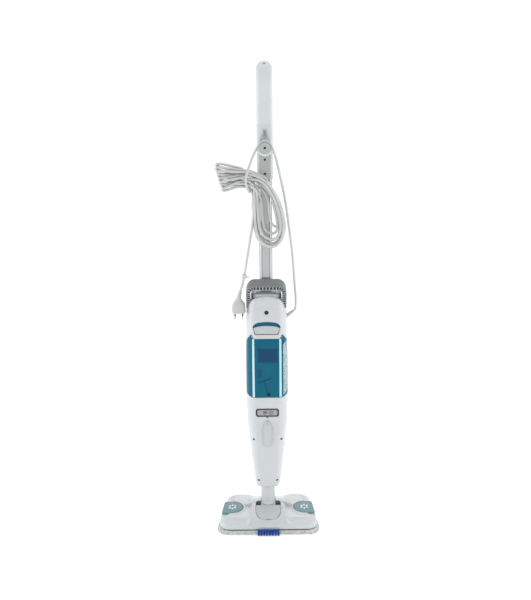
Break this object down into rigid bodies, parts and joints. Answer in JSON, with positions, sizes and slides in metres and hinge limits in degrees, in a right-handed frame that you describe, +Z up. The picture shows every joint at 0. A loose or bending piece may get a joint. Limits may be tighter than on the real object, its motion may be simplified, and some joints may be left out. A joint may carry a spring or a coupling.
{
  "type": "steam mop",
  "caption": "Upright steam mop: trapezoid floor head with terry pad, swivel neck, body with water tank, tube, loop handle and hooked mains cord.",
  "frame": {"origin": "centre of the pad's sole, on the floor", "axes": "+Z up along the upright tube, -Y towards the tank and brush side, +X to the side where the cord leaves the body"},
  "size_m": [0.273, 0.174, 1.2108],
  "materials": {
    "white_plastic": "smooth moulded ABS, light satin gloss",
    "grip_plastic": "fine-textured cool white handle plastic",
    "pale_grey_plastic": "satin pale grey plastic",
    "grey_plastic": "mid grey moulded plastic",
    "teal_clear": "deep teal transparent plastic",
    "teal_plastic": "teal plastic",
    "pedal_teal": "dusty teal plastic",
    "dark_plastic": "near-black plastic",
    "smoked_clear": "tinted clear pane",
    "aluminium": "satin anodised",
    "steel": "plated steel",
    "brass": "plain",
    "cast_alloy": "as cast",
    "hose_silicone": "translucent silicone",
    "board_green": "circuit board",
    "terry": "white microfibre terry pile",
    "bristle_blue": "blue nylon bristles",
    "cord_pvc": "pale grey PVC sheath"
  },
  "bodies": {
    "head": {"mop_pad": "terry", "sole_plate": "grey_plastic", "head_shell": "white_plastic", "brush": "bristle_blue", "pitch_pin": "steel", "steam_diffuser": "grey_plastic", "left_pedal_spring": "steel", "right_pedal_spring": "steel"},
    "left_pedal": {"left_pedal": "pedal_teal"},
    "right_pedal": {"right_pedal": "pedal_teal"},
    "neck": {"yoke": "pale_grey_plastic", "neck_tube": "white_plastic"},
    "tank": {"tank_body": "teal_clear", "tank_lid": "teal_plastic", "outlet_valve": "dark_plastic"},
    "filler_cap": {"filler_cap": "grey_plastic"},
    "release": {"release_pad": "pale_grey_plastic"},
    "selector": {"selector_lever": "pale_grey_plastic"},
    "trigger": {"steam_trigger": "grey_plastic"},
    "main": {"rear_housing": "white_plastic", "lower_front_cover": "white_plastic", "upper_front_cover": "white_plastic", "tank_bay": "white_plastic", "collar": "grey_plastic", "carry_arch": "grey_plastic", "window_frame": "dark_plastic", "window_lens": "smoked_clear", "pump": "brass", "boiler": "cast_alloy", "thermostat": "dark_plastic", "circuit_board": "board_green", "suction_hose": "hose_silicone", "feed_hose": "hose_silicone", "steam_hose": "hose_silicone", "strain_relief": "grey_plastic", "handle_tube": "aluminium", "tube_screw": "dark_plastic", "middle_left_screw": "dark_plastic", "middle_right_screw": "dark_plastic", "bottom_left_screw": "dark_plastic", "bottom_right_screw": "dark_plastic", "handle_front_cover": "white_plastic", "handle_left_shell": "grip_plastic", "handle_right_shell": "grip_plastic", "trigger_spring": "steel", "microswitch": "dark_plastic", "cord_hook": "white_plastic", "hook_screw": "dark_plastic", "handle_screw_1": "dark_plastic", "handle_screw_2": "dark_plastic", "handle_screw_3": "dark_plastic", "handle_screw_4": "dark_plastic", "latch_backplate": "teal_plastic", "cord_riser": "cord_pvc", "cord_hank": "cord_pvc", "cord_tail": "cord_pvc", "cord_clip": "cord_pvc", "plug_body": "cord_pvc", "plug_pin_left": "steel", "plug_pin_right": "steel"}
  },
  "joints": [
    {"name": "left_pedal_press", "type": "hinge", "parent": "head", "child": "left_pedal", "pos_m": [-0.067, -0.009, 0.034], "axis": [0, -1, 0], "range_deg": [0, 5], "stiffness_Nm_per_rad": 4, "springref_deg": -1.15, "deforming": ["left_pedal_spring"]},
    {"name": "right_pedal_press", "type": "hinge", "parent": "head", "child": "right_pedal", "pos_m": [0.067, -0.009, 0.034], "axis": [0, 1, 0], "range_deg": [0, 5], "stiffness_Nm_per_rad": 4, "springref_deg": -1.15, "deforming": ["right_pedal_spring"]},
    {"name": "head_tilt", "type": "hinge", "parent": "head", "child": "neck", "pos_m": [0, 0, 0.034], "axis": [-1, 0, 0], "range_deg": [0, 60]},
    {"name": "neck_swivel", "type": "hinge", "parent": "neck", "child": "main", "pos_m": [0, 0, 0.112], "axis": [0, 0, 1], "range_deg": [-90, 90]},
    {"name": "tank_out", "type": "slide", "parent": "main", "child": "tank", "axis": [0, -1, 0], "range_m": [0, 0.12]},
    {"name": "cap_turn", "type": "hinge", "parent": "tank", "child": "filler_cap", "pos_m": [0, -0.028, 0.536], "axis": [0, 0, 1], "range_deg": [0, 80]},
    {"name": "release_tip", "type": "hinge", "parent": "main", "child": "release", "pos_m": [0, -0.045, 0.552], "axis": [1, 0, 0], "range_deg": [0, 18], "stiffness_Nm_per_rad": 0.4, "springref_deg": -2.86},
    {"name": "selector_turn", "type": "hinge", "parent": "main", "child": "selector", "pos_m": [0, -0.0505, 0.2535], "axis": [0, -1, 0], "range_deg": [-18, 18]},
    {"name": "trigger_pull", "type": "hinge", "parent": "main", "child": "trigger", "pos_m": [0, 0.057, 1.15], "axis": [1, 0, 0], "range_deg": [0, 9], "stiffness_Nm_per_rad": 0.8, "springref_deg": -2.86, "deforming": ["trigger_spring"]}
  ]
}
